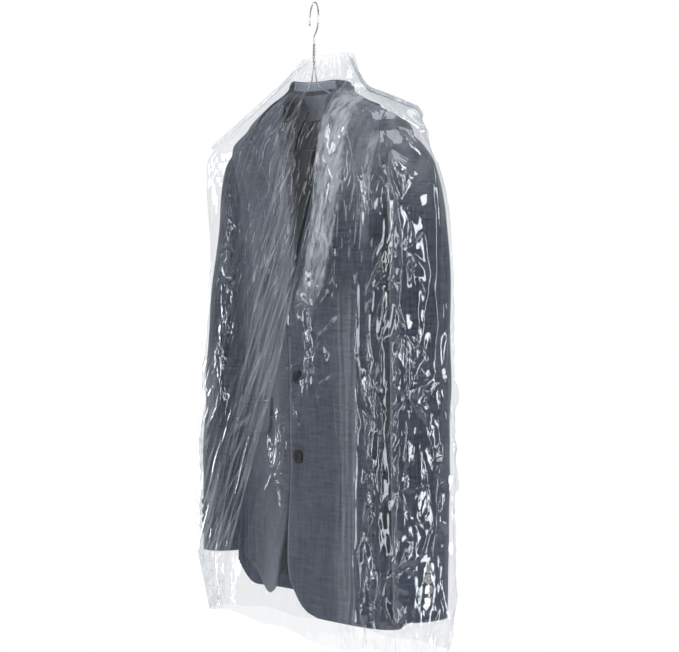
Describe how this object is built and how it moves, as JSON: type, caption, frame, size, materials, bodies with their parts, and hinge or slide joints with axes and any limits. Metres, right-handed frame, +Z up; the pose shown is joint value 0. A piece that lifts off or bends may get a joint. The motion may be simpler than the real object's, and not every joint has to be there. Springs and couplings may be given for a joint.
{
  "type": "garment bag",
  "caption": "Clear film garment bag with sealed sloping shoulders and an open hem, over a suit jacket on a wire hanger with a rail hook.",
  "frame": {"origin": "the inside of the hanger hook at its top, where it sits on the rail, on the axis of the hanger's neck", "axes": "+Z up along the hanger's neck; -Y towards the front of the garment; +X towards the wearer's left, the viewer's right"},
  "size_m": [0.578, 0.124, 0.9473],
  "materials": {
    "hanger_wire": "satin",
    "suit_cloth": "matte",
    "facing_cloth": "matte",
    "lining": "satin",
    "padding": "matte",
    "button": "gloss",
    "film": "gloss",
    "film_seal": "gloss"
  },
  "bodies": {
    "hanger": {"hanger_hook": "hanger_wire", "hanger_neck_twist": "hanger_wire", "hanger_left_arm": "hanger_wire", "hanger_right_arm": "hanger_wire", "hanger_bar": "hanger_wire"},
    "jacket": {"left_front": "suit_cloth", "right_front": "suit_cloth", "left_side_panel": "suit_cloth", "right_side_panel": "suit_cloth", "left_back": "suit_cloth", "right_back": "suit_cloth", "left_lapel": "suit_cloth", "right_lapel": "suit_cloth", "collar_fall": "suit_cloth", "collar_stand": "facing_cloth", "left_upper_sleeve": "suit_cloth", "left_under_sleeve": "suit_cloth", "right_upper_sleeve": "suit_cloth", "right_under_sleeve": "suit_cloth", "left_sleeve_lining": "lining", "right_sleeve_lining": "lining", "left_shoulder_pad": "padding", "right_shoulder_pad": "padding", "left_pocket_flap": "suit_cloth", "right_pocket_flap": "suit_cloth", "chest_welt": "suit_cloth", "front_buttons": "button", "left_cuff_buttons": "button", "right_cuff_buttons": "button", "left_body_lining": "lining", "right_body_lining": "lining", "back_body_lining": "lining", "back_neck_facing": "facing_cloth"},
    "bag": {"bag_front": "film", "bag_back": "film", "bag_left_gusset": "film", "bag_right_gusset": "film", "bag_left_seal": "film_seal", "bag_right_seal": "film_seal"}
  },
  "joints": [
    {"name": "jacket_lift", "type": "slide", "parent": "hanger", "child": "jacket", "axis": [0, 0, 1], "range_m": [0, 0.93]},
    {"name": "bag_lift", "type": "slide", "parent": "jacket", "child": "bag", "axis": [0, 0, 1], "range_m": [0, 0.96]}
  ]
}
